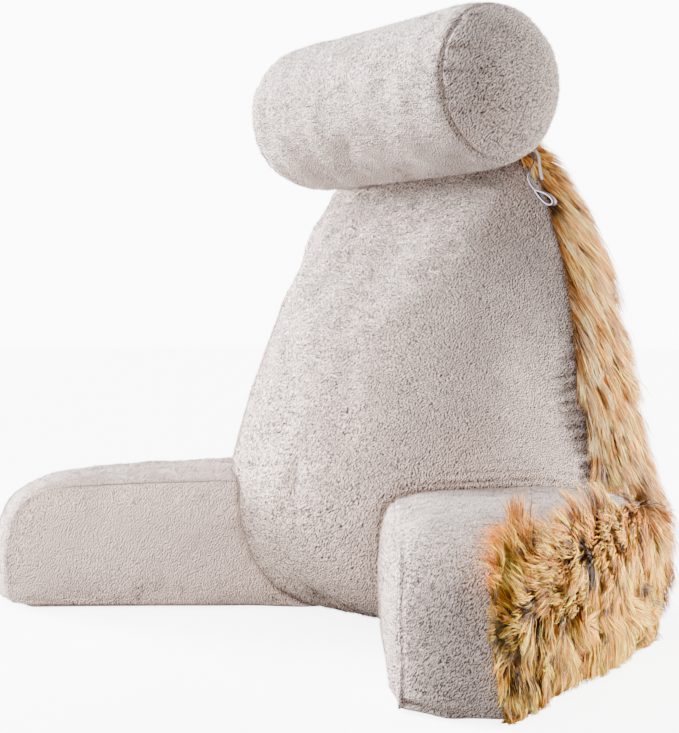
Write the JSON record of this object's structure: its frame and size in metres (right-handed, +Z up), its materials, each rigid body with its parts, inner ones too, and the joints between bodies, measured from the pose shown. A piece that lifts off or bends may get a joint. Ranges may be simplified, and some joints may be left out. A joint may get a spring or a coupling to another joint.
{
  "type": "reading pillow with arms",
  "caption": "Filled backrest cushion with two forward arms, a short-pile front, a long-pile back and sides, a round neck roll across the top and a ribbon strap loop.",
  "frame": {"origin": "the middle of the footprint, on the surface it stands on", "axes": "+Z up, the sitter faces -Y, the sitter's left arm is on +X"},
  "size_m": [0.9025, 0.5986, 0.7372],
  "materials": {
    "short_plush": "short brushed pile",
    "long_fur": "long straight pile",
    "arm_plush": "short brushed pile",
    "arm_long_fur": "long tousled pile",
    "roll_plush": "short brushed pile",
    "ribbon": "satin weave"
  },
  "bodies": {
    "root": {"backrest": "short_plush", "back_fur": "long_fur", "arm_left": "arm_plush", "arm_left_fur": "arm_long_fur", "arm_right": "arm_plush", "arm_right_fur": "arm_long_fur", "neck_roll": "roll_plush", "strap_loop": "ribbon"}
  },
  "joints": []
}
